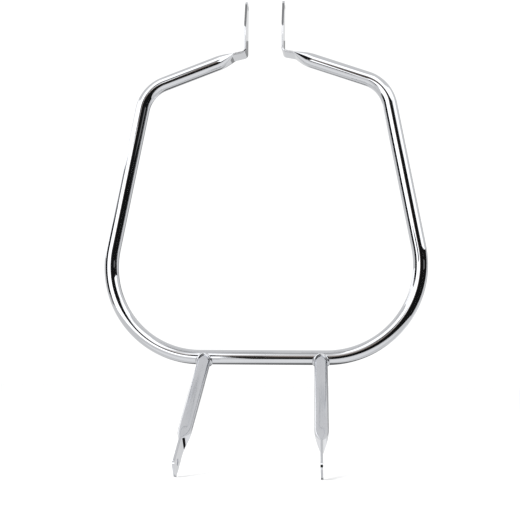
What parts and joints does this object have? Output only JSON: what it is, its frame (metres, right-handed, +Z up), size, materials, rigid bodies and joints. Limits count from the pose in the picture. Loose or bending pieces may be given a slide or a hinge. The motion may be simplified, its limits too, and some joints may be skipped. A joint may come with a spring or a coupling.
{
  "type": "motorcycle engine guard",
  "caption": "Chromed tube loop that guards a motorcycle's engine, with pressed, folded ears at the top and braced legs with flat bolt tabs below.",
  "frame": {"origin": "on the axis of the upper bolt hole, half way between the two ears", "axes": "+X along the bottom bar to the right as seen from the leg side, +Z up in the plane of the loop, -Y the way the legs point"},
  "size_m": [0.7058, 0.2958, 1.0259],
  "materials": {
    "chromed_tube": "polished chrome plate over steel tube",
    "chromed_weld": "chrome plate over a rippled weld bead"
  },
  "bodies": {
    "root": {"guard_loop": "chromed_tube", "left_leg": "chromed_tube", "right_leg": "chromed_tube", "left_leg_weld": "chromed_weld", "right_leg_weld": "chromed_weld"}
  },
  "joints": []
}
